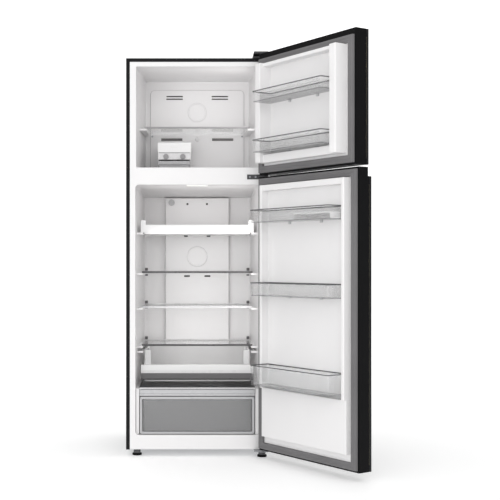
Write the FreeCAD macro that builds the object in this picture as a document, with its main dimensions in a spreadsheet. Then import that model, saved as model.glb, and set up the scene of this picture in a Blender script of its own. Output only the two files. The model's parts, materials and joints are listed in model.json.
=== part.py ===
import FreeCAD, Part
import os
import re

os.makedirs("parts", exist_ok=True)

# Top freezer refrigerator, millimetres. Cabinet frame: X to the right of the cabinet's middle,
# Y backwards from its front face, Z up from the floor. Door frame: Z up from the floor, with the
# hinge axis at X 0, Y 0, the free edge towards -X and the compartment towards +Y.
DIMENSIONS = {
    "origin_x": -176, "origin_y": -4,
    "cab_w": 600, "cab_depth": 540, "cab_bottom": 27, "cab_top": 1677,
    "skin": 1.2, "edge_strip": 16, "wall": 2,
    "frz_half": 258, "frz_back": 237, "frz_depth": 372, "frz_floor": 1216, "frz_ceiling": 1642,
    "frg_half": 261, "frg_back": 245, "frg_depth": 420, "frg_floor": 88, "frg_ceiling": 1144,
    "step_y": 338, "step_z": 290, "engine_y": 370, "engine_z": 268,
    "evap_half": 205, "evap_depth": 68, "evap_low": 1225, "evap_high": 1595,
    "cover_half": 213, "cover_top": 1602, "fan_z": 1501,
    "duct_half": 147, "duct_y": 392, "duct_low": 292, "duct_high": 1112,
    "shelf_front": 92, "shelf_back": 391, "shelf_half": 238, "ledge_half": 233, "glass": 4, "trim": 9,
    "shelf_a": 770, "shelf_b": 620, "shelf_c": 456, "frz_shelf": 1398,
    "rail": 8, "lid_rail": 5, "frz_shelf_half": 228, "frz_shelf_front": 140, "frz_shelf_back": 358,
    "frz_corner": 6, "frg_corner": 15, "dip_y": 140, "dip_deep": 34, "cover_thick": 6, "badge": 42,
    "vent_in": 66, "vent_out": 141, "vent_z": 1574, "vent_next_z": 1562, "vent_high": 5.5,
    "outlet_in": 68, "outlet_out": 165, "outlet_z": 1377, "outlet_high": 12,
    "intake_in": 40, "intake_out": 150, "intake_z": 1236, "intake_high": 10,
    "coil_half": 165, "coil_z": 1262, "coil_pitch": 28, "coil_front": 24, "coil_back": 46,
    "fin_front": 12, "fin_back": 58, "fin_low": 1252, "fin_high": 1412, "tube": 4,
    "motor": 26, "motor_in": 34, "motor_long": 30, "arm_half": 70, "hub": 13, "shaft": 2, "hub_in": 12,
    "heater_half": 150, "heater_in": 35, "heater_z": 1232, "heater_pitch": 11, "heater": 2.5,
    "oval_in": 43, "oval_out": 61, "oval_z": 937, "oval_low_in": 33, "oval_low_z": 753,
    "oval_high": 8, "hole_x": 45, "hole_z": 1084, "hole": 5,
    "cap_z": 843, "cap_rim": 46, "cap_face": 39, "dial_x": -118, "dial_z": 1090, "dial": 14,
    "lamp_half": 45, "lamp_front": 20, "lamp_back": 84, "lamp_high": 6,
    "tray_z": 945, "tray_high": 978, "tray_ear": 998, "tray_half": 243, "tray_back": 384,
    "drawer_z": 304, "drawer_high": 440, "drawer_rail_z": 435, "drawer_half": 228,
    "drawer_front_half": 242, "dip_half": 200, "grip_half": 150,
    "band_low": 310, "band_mid": 336, "band_high": 376,
    "crisper_y": 15, "crisper_z": 88.3, "crisper_high": 280, "crisper_half": 244,
    "crisper_back": 328, "lid_z": 281.5, "lid_thick": 4, "panel_low": 104, "panel_high": 250,
    "panel_in": 17, "crisper_in": 10, "crisper_face": 7,
    "ice_left": -172, "ice_right": -27, "ice_front": 150, "ice_back": 345,
    "ice_mid": 1264.5, "ice_top": 1339, "ice_axis_z": 1277, "ice_half": 27, "ice_deep": 8,
    "ice_inset": 36, "ice_play": 2.5, "web_first": 182, "web_pitch": 24, "web_thick": 1.5,
    "ice_bin_z": 1216.4, "ice_bin_high": 1258, "ice_bin_low": 1245.5, "ice_lip_back": 145, "knob": 11.5,
    "knob_y": 138, "door_thick": 65, "axis_deep": 23, "hinge_in": 14, "hinge_front": 35, "panel_thick": 12,
    "frz_open": 123, "frg_open": 124.5, "frame_wall": 3, "door_liner": 3,
    "frz_door_low": 1180, "frz_door_high": 1686, "frg_door_low": 34, "frg_door_high": 1172,
    "door_cap": 24, "grip_cap": 72, "grip_drop": 34, "grip_deep": 28, "grip_gap": 18,
    "gasket_in": 7, "gasket_top": 24, "plate_lap": 4, "gasket_wide": 28, "gasket_high": 11,
    "rib_free": 46, "rib_wide": 16, "rib_high": 35, "plinth_high": 22, "plinth_top": 300,
    "frz_rib_free": 50, "frz_rib_wide": 36, "frz_rib_high": 57, "rib_hinge": 30, "frz_rib_end": 34,
    "cross_drop": 20, "cross_low": 40, "cross_top": 24, "frg_cross_top": 34,
    "bin_front": 121, "bin_wall": 2.5, "pin": 5, "pin_play": 0.06, "pin_depth": 16,
    "foot_left_x": -255, "foot_left_y": 30, "foot_right_x": 272, "foot_right_y": -12,
    "pad_high": 9, "nut_high": 13, "cheek": 2.5, "cheek_half": 9, "play": 0.5,
    "foot": 20, "stem": 4, "roller": 13, "roller_y": 500, "roller_x": 262, "roller_wide": 22,
    "pump_x": 140, "pump_y": 455, "pump": 68, "pump_high": 150, "peg_x": 84, "peg_y": 50,
    "peg_high": 14, "pan_left": -262, "pan_right": 20, "louvre_in": 40, "louvre_out": 250,
    "louvre_z": 70, "louvre_pitch": 24, "louvre_high": 6, "gland_z": 60, "gland": 8, "cord": 4,
    "sheet": 1.5, "condenser_x": -130, "condenser_half": 110, "condenser_z": 90,
    "condenser_pitch": 34, "bracket": 3, "bracket_in": 262, "bracket_out": 294, "top_foot_in": 240,
    "top_foot_front": 6, "top_foot_back": 66, "mid_in": 210, "mid_tongue": 256, "mid_out": 297,
    "low_in": 238, "low_out": 298, "low_back": 60, "cap_in": 236, "cap_out": 299,
    "cap_back": 74, "cap_rise": 20, "cap_wall": 2, "head": 4.2, "head_high": 2.2,
    "egg_low": 980.6, "egg_top": 1006, "egg_thick": 4, "egg_cup": 16, "egg_pitch": 41,
}

doc = FreeCAD.newDocument("TopFreezerRefrigerator")
sheet = doc.addObject("Spreadsheet::Sheet", "Dims")
for row, (alias, value) in enumerate(DIMENSIONS.items(), start=1):
    sheet.set(f"A{row}", str(value))
    sheet.setAlias(f"A{row}", alias)
doc.recompute()

WORD = re.compile(r"[a-z][a-z_0-9]*")
TURNS = {
    "x": FreeCAD.Rotation(FreeCAD.Vector(0, 1, 0), 90),
    "y": FreeCAD.Rotation(FreeCAD.Vector(1, 0, 0), -90),
    "z": FreeCAD.Rotation(),
}
DIRECTIONS = {
    "x": FreeCAD.Vector(1, 0, 0),
    "y": FreeCAD.Vector(0, 1, 0),
    "z": FreeCAD.Vector(0, 0, 1),
}
NEARLY_ALONG = 0.98
parts = []


def bound(text):
    """An expression in which every dimension's name points at its cell."""
    return WORD.sub(lambda m: "Dims." + m[0] if m[0] in DIMENSIONS else m[0], str(text))


def box(name, x, y, z):
    """A block, each side given as (from, to)."""
    solid = doc.addObject("Part::Box", name)
    for size, axis, (low, high) in zip(("Length", "Width", "Height"), "xyz", (x, y, z)):
        solid.setExpression(size, bound(f"({high}) - ({low})"))
        solid.setExpression(f"Placement.Base.{axis}", bound(low))
    return solid


def rod(name, axis, start, length, radius):
    """A cylinder that grows from start along +X, +Y or +Z."""
    solid = doc.addObject("Part::Cylinder", name)
    solid.Placement = FreeCAD.Placement(FreeCAD.Vector(), TURNS[axis])
    solid.setExpression("Radius", bound(radius))
    solid.setExpression("Height", bound(length))
    for letter, value in zip("xyz", start):
        solid.setExpression(f"Placement.Base.{letter}", bound(value))
    return solid


def tapered(name, front_half, back_half, y, z, back_z=None):
    """A block that narrows from its front to its back."""
    solid = doc.addObject("Part::Wedge", name)
    back_z = back_z or z
    cells = {
        "Xmin": f"-({front_half})", "Xmax": front_half,
        "X2min": f"-({back_half})", "X2max": back_half,
        "Ymin": y[0], "Ymax": y[1], "Zmin": z[0], "Zmax": z[1],
        "Z2min": back_z[0], "Z2max": back_z[1],
    }
    for cell, value in cells.items():
        solid.setExpression(cell, bound(value))
    return solid


def fuse(name, *solids):
    if len(solids) == 1:
        return solids[0]
    joined = doc.addObject("Part::MultiFuse", name)
    joined.Shapes = list(solids)
    joined.Refine = True
    return joined


def cut(name, base, *tools):
    result = doc.addObject("Part::Cut", name)
    result.Base = base
    result.Tool = fuse(name + "_tools", *tools)
    return result


def group(name, *solids):
    together = doc.addObject("Part::Compound", name)
    together.Links = list(solids)
    return together


def rounded(base, radius, axes="z", where=None):
    """The base with its edges along the named axes rounded, where their middles pass the test."""
    doc.recompute()
    chosen = []
    for number, edge in enumerate(base.Shape.Edges, start=1):
        if len(edge.Vertexes) != 2:
            continue
        run = (edge.Vertexes[1].Point - edge.Vertexes[0].Point).normalize()
        along = any(abs(run.dot(DIRECTIONS[axis])) > NEARLY_ALONG for axis in axes)
        if along and (where is None or where(edge.CenterOfMass)):
            chosen.append((number, radius, radius))
    soft = doc.addObject("Part::Fillet", base.Name + "_rounded")
    soft.Base = base
    soft.Edges = chosen
    return soft


def sides(inner, outer):
    """The same span of X on the left and on the right of the middle."""
    return ("left", (f"-({outer})", f"-({inner})")), ("right", (inner, outer))


CARRIERS = {
    "cabinet": ("origin_x", "origin_y", "0"),
    "freezer_door": (
        "origin_x + cab_w / 2 - hinge_in", "origin_y - hinge_front", "frz_open"),
    "fridge_door": (
        "origin_x + cab_w / 2 - hinge_in", "origin_y - hinge_front", "frg_open"),
}


def part(label, shape, carrier="cabinet"):
    """Name a finished sub-part and put it where its carrier stands."""
    if shape.TypeId in ("Part::Box", "Part::Cylinder"):
        shape = group(shape.Name + "_piece", shape)
    shape.Label = label
    x, y, angle = CARRIERS[carrier]
    shape.Placement = FreeCAD.Placement(
        FreeCAD.Vector(), FreeCAD.Rotation(DIRECTIONS["z"], 1))
    shape.setExpression("Placement.Base.x", bound(x))
    shape.setExpression("Placement.Base.y", bound(y))
    shape.setExpression("Placement.Rotation.Angle", bound(angle))
    parts.append(shape)
    return shape


def tub(name, x, y, z, wall, radius):
    """An open-topped tub with rounded upright corners."""
    outer = rounded(box(name + "_outer", x, y, z), radius)
    room = rounded(
        box(name + "_room", (f"({x[0]}) + {wall}", f"({x[1]}) - {wall}"),
            (f"({y[0]}) + {wall}", f"({y[1]}) - {wall}"), (f"({z[0]}) + {wall}", f"({z[1]}) + 1")),
        max(radius - DIMENSIONS.get(wall, 2), 0.5))
    return cut(name, outer, room)


def serpentine(name, half, y, low_z, rows, pitch, radius, middle="0"):
    """Straight tubes one above the other, joined by half rings at alternate ends."""
    pieces = []
    for row in range(rows):
        z = f"{low_z} + {row} * {pitch}"
        pieces.append(rod(f"{name}_run", "x", (f"{middle} - {half}", y, z), f"2 * {half}", radius))
    for row in range(rows - 1):
        right = row % 2 == 0
        bend = doc.addObject("Part::Torus", f"{name}_bend")
        bend.setExpression("Radius1", bound(f"{pitch} / 2"))
        bend.setExpression("Radius2", bound(radius))
        bend.Angle3 = 180
        out = 1 if right else -1
        turn = FreeCAD.Rotation(
            FreeCAD.Vector(0, 0, -1), FreeCAD.Vector(out, 0, 0), FreeCAD.Vector(0, -out, 0), "XYZ")
        bend.Placement = FreeCAD.Placement(FreeCAD.Vector(), turn)
        bend.setExpression("Placement.Base.x", bound(f"{middle} + {out} * {half}"))
        bend.setExpression("Placement.Base.y", bound(y))
        bend.setExpression("Placement.Base.z", bound(f"{low_z} + {row + 0.5} * {pitch}"))
        pieces.append(bend)
    return fuse(name, *pieces)


# ---------------------------------------------------------------- cabinet shell and base

OUTER = "cab_w / 2"
INNER = "cab_w / 2 - skin"
WITHIN = (f"-({INNER})", INNER)
MIDDLE = ("edge_strip - cab_w / 2", "cab_w / 2 - edge_strip")
BEYOND = ("-cab_w", "cab_w")
NEAR_FRONT = 5


def cabinet_shell():
    returns = dict(sides("cab_w / 2 - edge_strip", OUTER))
    high = ("cab_bottom", "cab_top")
    for side, span in sides(INNER, OUTER):
        sheet_wall = box(f"{side}_sheet", span, ("0", "cab_depth"), high)
        front = box(f"{side}_front_return", returns[side], ("0", "skin"), high)
        rear = box(f"{side}_rear_return", returns[side], ("cab_depth - skin", "cab_depth"), high)
        part(f"side_panel_{side}", fuse(f"{side}_side", sheet_wall, front, rear))
    lid = box("lid_sheet", WITHIN, ("skin", "cab_depth - skin"), ("cab_top - skin", "cab_top"))
    lip = box("lid_lip", MIDDLE, ("0", "skin"), ("cab_top - edge_strip", "cab_top"))
    part("top_panel", fuse("lid", lid, lip))
    part("back_panel", box(
        "back_sheet", WITHIN, ("cab_depth - 2 * skin", "cab_depth - skin"),
        ("engine_z + wall", "cab_top - skin")))


def base():
    plate = box("base_sheet", WITHIN, ("wall", "cab_depth - skin"),
                ("cab_bottom", "cab_bottom + sheet"))
    pieces = [plate]
    axle_z = "roller"
    along = ("roller_y - cheek_half", "roller_y + cheek_half")
    high = ("roller - cheek_half + 1", "cab_bottom")
    far = "roller_x + roller_wide + play + cheek"
    for side, span in sides("roller_x - play - cheek", "roller_x - play"):
        pieces.append(box(f"{side}_inner_cheek", span, along, high))
    for side, span in sides("roller_x + roller_wide + play", far):
        pieces.append(box(f"{side}_outer_cheek", span, along, high))
    for side, span in sides("roller_x - play - cheek", far):
        pieces.append(rod(f"{side}_axle", "x", (span[0], "roller_y", axle_z),
                          "roller_wide + 2 * (play + cheek)", "stem"))
    socket = rod("foot_socket", "z", ("foot_left_x", "foot_left_y", "cab_bottom - 1"),
                 "sheet + 2", "stem + pin_play")
    part("base_plate", cut("base_tray", fuse("base_frame", *pieces), socket))
    for side, span in sides("roller_x", "roller_x + roller_wide"):
        wheel = rod(f"{side}_wheel", "x", (span[0], "roller_y", axle_z), "roller_wide", "roller")
        bore = rod(f"{side}_bore", "x", (span[0], "roller_y", axle_z), "roller_wide",
                   "stem + pin_play")
        part(f"rear_roller_{side}", cut(f"{side}_roller", rounded_rim(wheel, 2), bore))


def rounded_rim(wheel, radius):
    """A cylinder with both of its rims rounded."""
    doc.recompute()
    soft = doc.addObject("Part::Fillet", wheel.Name + "_soft")
    soft.Base = wheel
    soft.Edges = [(number, radius, radius) for number, edge in enumerate(wheel.Shape.Edges, 1)
                  if len(edge.Vertexes) == 1]
    return soft


def foot(side, x, y, top):
    shoulder = "pad_high + nut_high"
    pad = rounded_rim(rod(f"{side}_pad", "z", (x, y, "0"), "pad_high", "foot"), 2)
    nut = rounded_rim(rod(f"{side}_nut", "z", (x, y, "pad_high"), "nut_high", "foot - 5"), 1)
    stem = rod(f"{side}_stem", "z", (x, y, shoulder), f"{top} - ({shoulder})", "stem")
    part(f"front_foot_{side}", fuse(f"{side}_foot", pad, nut, stem))


# ---------------------------------------------------------------- liners and insulation

def freezer_cavity(name, grow):
    """The freezer room with the evaporator's recess behind it, grown by a wall."""
    main = rounded(
        tapered(f"{name}_main", f"frz_half + {grow}", f"frz_back + {grow}",
                ("0", f"frz_depth + {grow}"),
                (f"frz_floor - {grow}", f"frz_ceiling + {grow}")),
        DIMENSIONS["frz_corner"], "xyz", lambda middle: middle.y > NEAR_FRONT)
    recess = box(f"{name}_recess", (f"-evap_half - {grow}", f"evap_half + {grow}"),
                 ("frz_depth - 30", f"frz_depth + evap_depth + {grow}"),
                 (f"evap_low - {grow}", f"evap_high + {grow}"))
    return fuse(name, main, recess)


def fridge_cavity(name, grow):
    """The fresh food room: a step over the machine room and a ceiling that dips at the back."""
    main = rounded(
        tapered(f"{name}_main", f"frg_half + {grow}", f"frg_back + {grow}",
                ("0", f"frg_depth + {grow}"),
                (f"frg_floor - {grow}", f"frg_ceiling + {grow}")),
        DIMENSIONS["frg_corner"], "xyz", lambda middle: middle.y > NEAR_FRONT)
    step = box(f"{name}_step", BEYOND, (f"step_y + {grow}", "cab_w"),
               ("0", f"step_z - {grow}"))
    above = f"frg_ceiling + {grow}"
    dip = tapered(f"{name}_dip", "cab_w", "cab_w", ("dip_y", "frg_depth + 40"),
                  (above, f"{above} + 150"), (f"{above} - dip_deep", f"{above} + 150"))
    return cut(name, main, step, dip)


def ledges(name, ledge_half, y, tops, thick="rail"):
    """Rails on both side walls, given by the height of their upper faces."""
    rails = []
    for top in tops:
        for side, span in sides(ledge_half, OUTER):
            rails.append(box(f"{name}_{side}", span, y, (f"({top}) - {thick}", top)))
    return rails


def liners():
    frz_outer = freezer_cavity("freezer_outer", "wall")
    frz_flange = box("freezer_flange", MIDDLE, ("0", "wall"),
                     ("frz_floor - wall", "cab_top - edge_strip"))
    frz_rails = ledges("freezer_rail", "frz_shelf_half - rail",
                       ("frz_shelf_front", "frz_shelf_back"), ["frz_shelf"])
    frz_room = cut("freezer_room", freezer_cavity("freezer_inner", "0"), *frz_rails)
    part("freezer_liner", cut(
        "freezer_tub", fuse("freezer_skin", frz_outer, frz_flange), frz_room))

    frg_outer = fridge_cavity("fridge_outer", "wall")
    frg_flange = box("fridge_flange", MIDDLE, ("0", "wall"),
                     ("cab_bottom + sheet", "frg_ceiling + wall"))
    deep = ("shelf_front", "shelf_back")
    frg_rails = ledges("shelf_rail", "ledge_half", deep, ["shelf_a", "shelf_b", "shelf_c"])
    frg_rails += ledges("tray_rail", "ledge_half", deep, ["tray_z - 0.3", "drawer_rail_z - 0.3"])
    frg_rails += ledges("lid_rail", "crisper_half + 1.5", ("crisper_y", "step_y"),
                        ["lid_z"], "lid_rail")
    frg_room = cut("fridge_room", fridge_cavity("fridge_inner", "0"), *frg_rails)
    part("fridge_liner", cut(
        "fridge_tub", fuse("fridge_skin", frg_outer, frg_flange), frg_room))

    part("divider_cover", rounded(
        box("divider_bar", MIDDLE, ("0", "wall"), ("frg_ceiling + wall", "frz_floor - wall")),
        0.5, "x", lambda middle: middle.y < 1))
    block = box("foam_block", WITHIN, ("wall", "cab_depth - 2 * skin"),
                ("cab_bottom + sheet", "cab_top - skin"))
    engine = box("engine_room", BEYOND, ("engine_y", "cab_w"), ("0", "engine_z + wall"))
    part("cabinet_foam", cut(
        "foam", block, engine, freezer_cavity("freezer_void", "wall"),
        fridge_cavity("fridge_void", "wall")))


# ---------------------------------------------------------------- cold air parts

def slot(name, x, z, high, y):
    """A straight opening centred on a height."""
    return box(name, x, y, (f"{z} - {high} / 2", f"{z} + {high} / 2"))


def evaporator_parts():
    plate = rounded(
        box("cover_plate", ("-cover_half", "cover_half"),
            ("frz_depth - cover_thick", "frz_depth"), ("frz_floor + 16", "cover_top")),
        20, "y", lambda middle: middle.z > DIMENSIONS["fan_z"])
    badge = rod("cover_badge", "y", ("0", "frz_depth - cover_thick - 2", "fan_z"), "2", "badge")
    through = ("frz_depth - cover_thick - 1", "frz_depth + 1")
    holes = []
    for side, span in sides("vent_in", "vent_out"):
        holes.append(slot(f"{side}_vent", span, "vent_z", "vent_high", through))
        holes.append(slot(f"{side}_next_vent", span, "vent_next_z", "vent_high", through))
    for side, span in sides("outlet_in", "outlet_out"):
        holes.append(slot(f"{side}_outlet", span, "outlet_z", "outlet_high", through))
    for side, span in sides("intake_in", "intake_out"):
        holes.append(slot(f"{side}_intake", span, "intake_z", "intake_high", through))
    part("evaporator_cover", cut("cover", fuse("cover_face", plate, badge), *holes))

    rows = 6
    layers = ("frz_depth + coil_front", "frz_depth + coil_back")
    tubes = [serpentine("tube", "coil_half", y, "coil_z", rows, "coil_pitch", "tube")
             for y in layers]
    fins = []
    for count in range(-11, 12):
        x = f"{count} * coil_pitch / 2"
        fins.append(box("fin", (f"{x} - 0.4", f"{x} + 0.4"),
                        ("frz_depth + fin_front", "frz_depth + fin_back"),
                        ("fin_low", "fin_high")))
    bores = [rod("fin_bore", "x", ("-coil_half - 5", y, f"coil_z + {row} * coil_pitch"),
                 "2 * coil_half + 10", "tube")
             for y in layers for row in range(rows)]
    fin_pack = cut("fin_pack", group("fin_row", *fins), *bores)
    part("evaporator", group("evaporator_core", fin_pack, *tubes))
    part("defrost_heater", serpentine(
        "heater", "heater_half", "frz_depth + heater_in", "heater_z", 2, "heater_pitch", "heater"))

    hub = rod("fan_hub", "y", ("0", "frz_depth + hub_in", "fan_z"), "16", "hub")
    blades = [hub]
    for count in range(5):
        blade = doc.addObject("Part::Box", "fan_vane")
        blade.Length = 38
        blade.Width = 1.4
        blade.Height = 24
        pitch = FreeCAD.Rotation(DIRECTIONS["x"], 62)
        round_axis = FreeCAD.Rotation(DIRECTIONS["y"], 72 * count)
        start = round_axis.multVec(FreeCAD.Vector(10, 2, -10))
        blade.Placement = FreeCAD.Placement(start, round_axis * pitch)
        blade.setExpression("Placement.Base.y", bound(f"frz_depth + 29 + {start.y}"))
        blade.setExpression("Placement.Base.z", bound(f"fan_z + {start.z}"))
        blades.append(blade)
    bore = rod("fan_bore", "y", ("0", "frz_depth + hub_in - 1", "fan_z"), "18",
               "shaft + pin_play")
    part("fan_blade", cut("fan", fuse("fan_wheel", *blades), bore))
    motor = rod("motor_can", "y", ("0", "frz_depth + motor_in", "fan_z"), "motor_long", "motor")
    shaft = rod("motor_shaft", "y", ("0", "frz_depth + hub_in + 3", "fan_z"), "20", "shaft")
    arm = box("motor_arm", ("-arm_half", "arm_half"),
              ("frz_depth + motor_in + motor_long", "frz_depth + evap_depth"),
              ("fan_z - 8", "fan_z + 8"))
    part("fan_motor", fuse("motor", motor, shaft, arm))


def duct_parts():
    outer = rounded(
        box("duct_outer", ("-duct_half", "duct_half"), ("duct_y", "frg_depth"),
            ("duct_low", "duct_high")), 6, "xz", lambda middle: middle.y < DIMENSIONS["duct_y"] + 1)
    room = box("duct_room", ("3 - duct_half", "duct_half - 3"), ("duct_y + 3", "frg_depth + 1"),
               ("duct_low + 3", "duct_high - 3"))
    through = ("duct_y - 1", "duct_y + 4")
    holes = []
    blunt = 3.9
    for side, span in sides("oval_in", "oval_out"):
        oval = slot(f"{side}_upper_oval", span, "oval_z", "oval_high", through)
        holes.append(rounded(oval, blunt, "y"))
    for side, span in sides("oval_low_in", "oval_out"):
        oval = slot(f"{side}_lower_oval", span, "oval_low_z", "oval_high", through)
        holes.append(rounded(oval, blunt, "y"))
    for x in ("-hole_x", "hole_x"):
        holes.append(rod("duct_hole", "y", (x, "duct_y - 1", "hole_z"), "5", "hole"))
    part("air_duct_cover", cut("duct", outer, room, *holes))
    rim = rounded_rim(rod("cap_edge", "y", ("0", "duct_y - 5", "cap_z"), "5", "cap_rim"), 2)
    face = rod("cap_middle", "y", ("0", "duct_y - 6", "cap_z"), "3", "cap_face")
    part("deodoriser_cap", cut("cap", rim, face))
    lamp = rounded(box("lamp_body", ("-lamp_half", "lamp_half"), ("lamp_front", "lamp_back"),
                       ("frg_ceiling - lamp_high", "frg_ceiling")), 5, "xyz",
                   lambda middle: middle.z < DIMENSIONS["frg_ceiling"] - 1)
    hollow = box("lamp_hollow", ("3 - lamp_half", "lamp_half - 3"),
                 ("lamp_front + 3", "lamp_back - 3"),
                 ("frg_ceiling - lamp_high + wall", "frg_ceiling + 1"))
    part("light_cover", cut("lamp", lamp, hollow))
    dial = rod("dial_disc", "y", ("dial_x", "duct_y - 9", "dial_z"), "8.7", "dial")
    tab = box("dial_tab", ("dial_x - 2", "dial_x + 2"), ("duct_y - 12", "duct_y - 8"),
              ("dial_z - 12", "dial_z + 12"))
    part("temperature_dial", fuse("dial", rounded_rim(dial, 1.5), tab))


# ---------------------------------------------------------------- machine room

def machine_room():
    floor = "cab_bottom + sheet"
    upright = box("engine_upright", WITHIN, ("engine_y", "engine_y + sheet"),
                  (floor, "engine_z"))
    roof = box("engine_roof", WITHIN, ("engine_y", "cab_depth - skin"),
               ("engine_z", "engine_z + wall"))
    part("machine_room_wall", fuse("engine_wall", upright, roof))
    can = rounded_rim(rod("pump_can", "z", ("pump_x", "pump_y", f"{floor} + 22"), "pump_high",
                          "pump"), 30)
    plate = box("pump_plate", ("pump_x - peg_x - 11", "pump_x + peg_x + 11"),
                ("pump_y - peg_y - 12", "pump_y + peg_y + 12"),
                (f"{floor} + peg_high", f"{floor} + peg_high + bracket"))
    neck = rod("pump_neck", "z", ("pump_x", "pump_y", f"{floor} + peg_high + 1"), "20", "40")
    box_on_side = box("pump_relay", ("pump_x - 90", "pump_x - 55"), ("pump_y - 25", "pump_y + 25"),
                      (f"{floor} + 70", f"{floor} + 130"))
    pegs = []
    grommets = []
    for x in ("pump_x - peg_x", "pump_x + peg_x"):
        for y in ("pump_y - peg_y", "pump_y + peg_y"):
            outer = rod("grommet", "z", (x, y, floor), "peg_high", "9")
            hole = rod("grommet_bore", "z", (x, y, floor), "peg_high", "stem")
            grommets.append(cut("cushion", outer, hole))
            pegs.append(rod("pump_peg", "z", (x, y, f"{floor} + 1"), "peg_high", "stem - 0.1"))
    part("compressor", fuse("pump_all", can, plate, neck, box_on_side, *pegs))
    part("compressor_grommets", group("cushions", *grommets))
    part("condenser_coil", serpentine(
        "condenser", "condenser_half", "pump_y", "condenser_z", 5, "condenser_pitch", "tube",
        "condenser_x"))
    part("drain_pan", tub("pan", ("pan_left", "pan_right"), ("pump_y - 70", "pump_y + 62"),
                          (f"{floor} + 0.5", f"{floor} + 34"), "wall", 8))
    sheet_cover = box("rear_sheet", ("4 - cab_w / 2", "cab_w / 2 - 4"),
                      ("cab_depth", "cab_depth + sheet"), ("cab_bottom + 4", "engine_z - 2"))
    vents = []
    for row in range(7):
        for side, span in sides("louvre_in", "louvre_out"):
            vents.append(slot(f"{side}_louvre", span, f"(louvre_z + {row} * louvre_pitch)",
                              "louvre_high", ("cab_depth - 1", "cab_depth + 3")))
    entry = rod("cord_entry", "y", ("0", "cab_depth - 1", "gland_z"), "5", "gland")
    part("machine_room_cover", cut("rear_cover", sheet_cover, entry, *vents))
    flange = rod("gland_flange", "y", ("0", "cab_depth + sheet", "gland_z"), "3", "gland + 5")
    barrel = rod("gland_barrel", "y", ("0", "cab_depth - 6", "gland_z"), "14", "gland - 0.05")
    throat = rod("gland_throat", "y", ("0", "cab_depth - 7", "gland_z"), "16", "cord")
    part("cord_gland", cut("gland", fuse("gland_solid", flange, barrel), throat))


# ---------------------------------------------------------------- hinges and screws

AXIS_X = "cab_w / 2 - hinge_in"
AXIS_Y = "-hinge_front"


def hinges():
    over = ("frz_door_high + 2", "frz_door_high + 2 + bracket")
    wide = ("bracket_in", "bracket_out")
    foot_plate = box("top_foot", ("top_foot_in", "bracket_out"),
                     ("top_foot_front", "top_foot_back"), ("cab_top", "cab_top + bracket"))
    riser = box("top_riser", wide, ("top_foot_front", "top_foot_front + bracket"),
                ("cab_top", over[1]))
    arm = box("top_arm", wide, ("-hinge_front - 10", "top_foot_front + bracket"), over)
    pin = rod("top_pin", "z", (AXIS_X, AXIS_Y, "frz_door_high + 3 - pin_depth"),
              "pin_depth", "pin")
    part("top_hinge", fuse("upper_bracket", foot_plate, riser, arm, pin))

    plate = box("mid_flange", ("mid_in", "mid_out"), ("-bracket", "0"),
                ("frg_door_high - 6", "frz_door_low + 6"))
    tongue = box("mid_arm", ("mid_tongue", "mid_out"), ("-hinge_front - 10", "0"),
                 ("frg_door_high + 2", "frz_door_low - 2"))
    pins = rod("mid_pin", "z", (AXIS_X, AXIS_Y, "frg_door_high - pin_depth + 4"),
               "2 * pin_depth", "pin")
    part("middle_hinge", fuse("centre_bracket", plate, rounded(tongue, 4), pins))

    under = box("low_plate", ("low_in", "low_out"), ("-hinge_front - 12", "low_back"),
                ("cab_bottom - bracket", "cab_bottom"))
    collar = rod("low_collar", "z", (AXIS_X, AXIS_Y, "cab_bottom"), "6.5", "9")
    low_pin = rod("low_pin", "z", (AXIS_X, AXIS_Y, "cab_bottom"), "pin_depth + 4", "pin")
    socket = rod("low_socket", "z", ("foot_right_x", "foot_right_y", "cab_bottom - bracket - 1"),
                 "5", "stem + pin_play")
    part("bottom_hinge", cut(
        "lower_bracket", fuse("lower_solid", rounded(under, 5), collar, low_pin), socket))

    cap_x = ("cap_in", "cap_out")
    cap_top = "cab_top + cap_rise"
    cap_front = ("-hinge_front - 14", "cap_back")
    cap_rear = ("2", "cap_back")
    over_door = box("cap_front", cap_x, cap_front, ("frz_door_high + 1.5", cap_top))
    over_top = box("cap_rear", cap_x, cap_rear, ("cab_top", cap_top))
    soft = rounded(fuse("cap_solid", over_door, over_top), 4, "xyz",
                   lambda middle: middle.z > DIMENSIONS["frz_door_high"] + 4)
    room_front = box("cap_room_front", inset(cap_x, "cap_wall"), inset(cap_front, "cap_wall"),
                     ("frz_door_high", f"{cap_top} - cap_wall"))
    room_rear = box("cap_room_rear", inset(cap_x, "cap_wall"), inset(cap_rear, "cap_wall"),
                    ("cab_top - 1", f"{cap_top} - cap_wall"))
    part("hinge_cover", cut("cap_shell", soft, room_front, room_rear))

    heads = []
    for x in ("mid_in + 12", "mid_in + 36"):
        heads.append(screw("y", (x, "-bracket", "(frg_door_high + frz_door_low) / 2"), -1))
    for x, y in (("top_foot_in + 10", 24), ("top_foot_in + 10", 52), ("bracket_out - 12", 52)):
        heads.append(screw("z", (x, y, "cab_top + bracket"), 1))
    for x, y in (("low_in + 12", 18), ("low_in + 12", 46), ("low_out - 16", 46)):
        heads.append(screw("z", (x, y, "cab_bottom - bracket"), -1))
    for x in ("8 - cover_half", "cover_half - 8"):
        heads.append(screw("y", (x, "frz_depth - cover_thick", "outlet_z + 14"), -1))
    for x in ("10 - cab_w / 2", "cab_w / 2 - 10"):
        for z in ("cab_bottom + 33", "cab_bottom + 123", "cab_bottom + 213"):
            heads.append(screw("y", (x, "cab_depth + sheet", z), 1))
    part("screws", group("screw_set", *heads))


def screw(axis, at, out):
    """A pan head standing on a face, its shank being hidden in the piece that it holds."""
    at = list(at)
    place = "xyz".index(axis)
    if out < 0:
        at[place] = f"({at[place]}) - head_high"
    head = rod("screw_head", axis, at, "head_high", "head")
    if out > 0:
        at[place] = f"({at[place]}) + head_high / 2"
    recess = rod("screw_recess", axis, at, "head_high / 2", "1.5")
    return cut("screw", head, recess)


# ---------------------------------------------------------------- fresh food room fittings

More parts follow.
